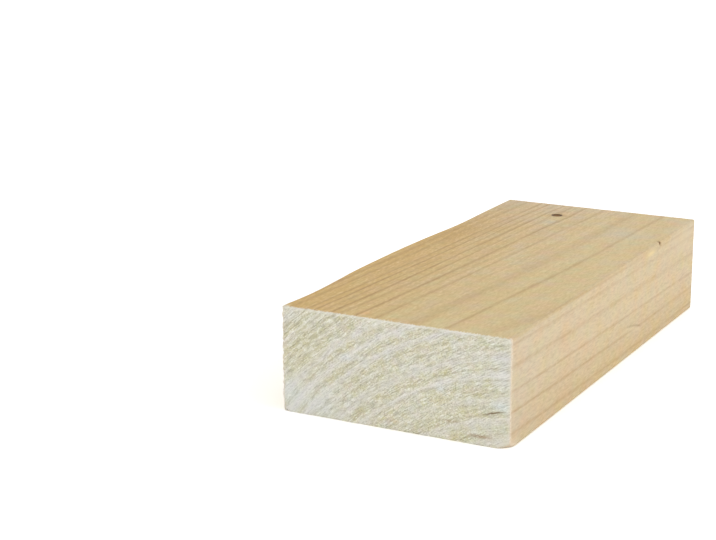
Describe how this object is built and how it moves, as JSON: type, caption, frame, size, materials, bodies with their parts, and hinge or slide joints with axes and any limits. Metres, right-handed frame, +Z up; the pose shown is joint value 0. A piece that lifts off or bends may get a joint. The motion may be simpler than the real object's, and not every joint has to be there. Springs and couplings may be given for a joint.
{
  "type": "timber lumber plank",
  "caption": "Short rectangular length of planed pale softwood with rough-sawn ends, a roughly eased long edge and a small pin knot.",
  "frame": {"origin": "centre of the bounding box at its base, on the surface that the plank lies on", "axes": "+Y along the grain, away from the end that the picture shows; +Z up through the thickness; +X across the width, towards the long side that the picture shows"},
  "size_m": [0.09, 0.2, 0.04],
  "materials": {
    "softwood": "matte"
  },
  "bodies": {
    "root": {"plank": "softwood"}
  },
  "joints": []
}
